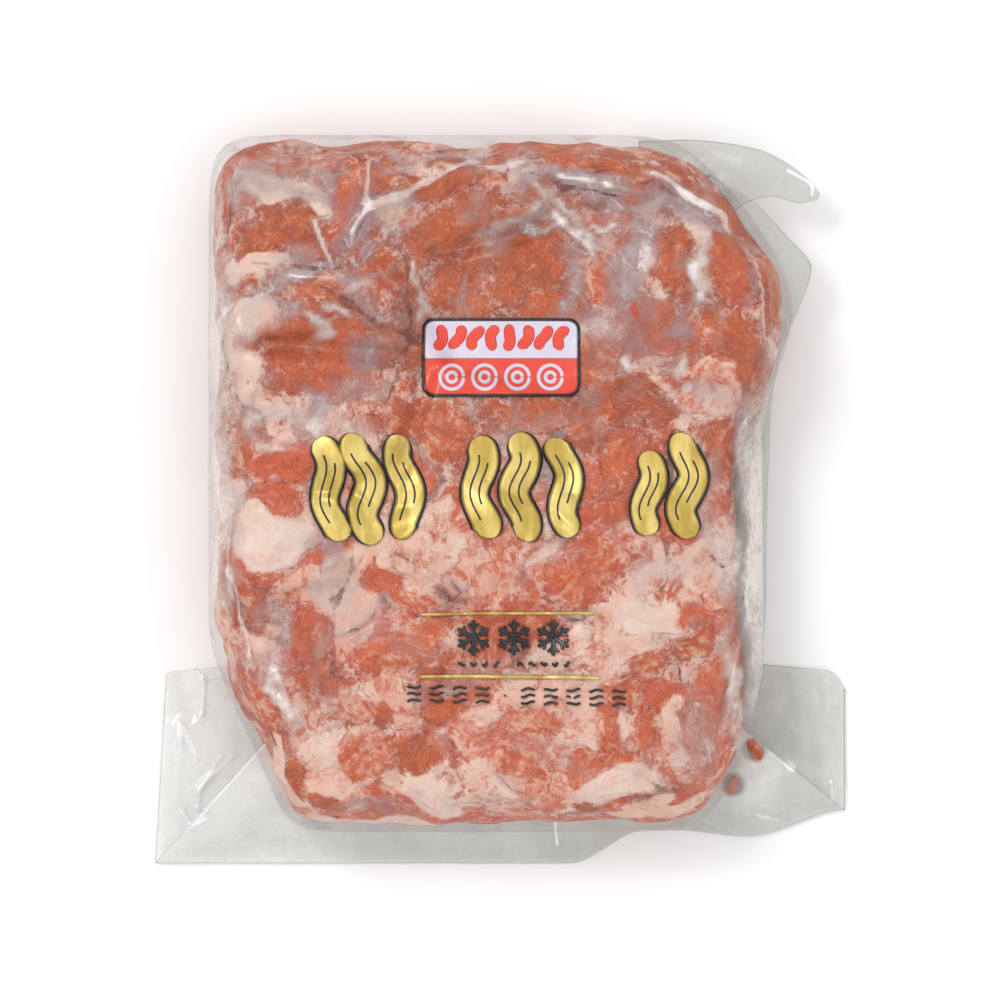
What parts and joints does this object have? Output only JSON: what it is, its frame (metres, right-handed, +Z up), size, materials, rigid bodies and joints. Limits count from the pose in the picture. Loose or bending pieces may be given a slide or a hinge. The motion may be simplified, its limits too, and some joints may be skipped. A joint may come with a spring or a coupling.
{
  "type": "vacuum pack of frozen bacon slices",
  "caption": "Clear vacuum pouch of frozen bacon slices, pressed into a rounded slab and lying flat, its sealed mouth end folded under so that the corners stick out at both sides.",
  "frame": {"origin": "centre of the footprint, on the surface the pack lies on", "axes": "+Z up, out of the printed face; +Y from the folded mouth end to the closed end; +X to the right of the printed face"},
  "size_m": [0.2, 0.2106, 0.0395],
  "materials": {
    "pack": "bacon seen through clear film",
    "film": "clear wrinkled vacuum film",
    "bacon": "raw frozen bacon, lean and fat",
    "label": "printed ink",
    "gold": "printed gold foil",
    "ink": "printed black ink"
  },
  "bodies": {
    "root": {"sealed_bag": "pack"}
  },
  "joints": []
}
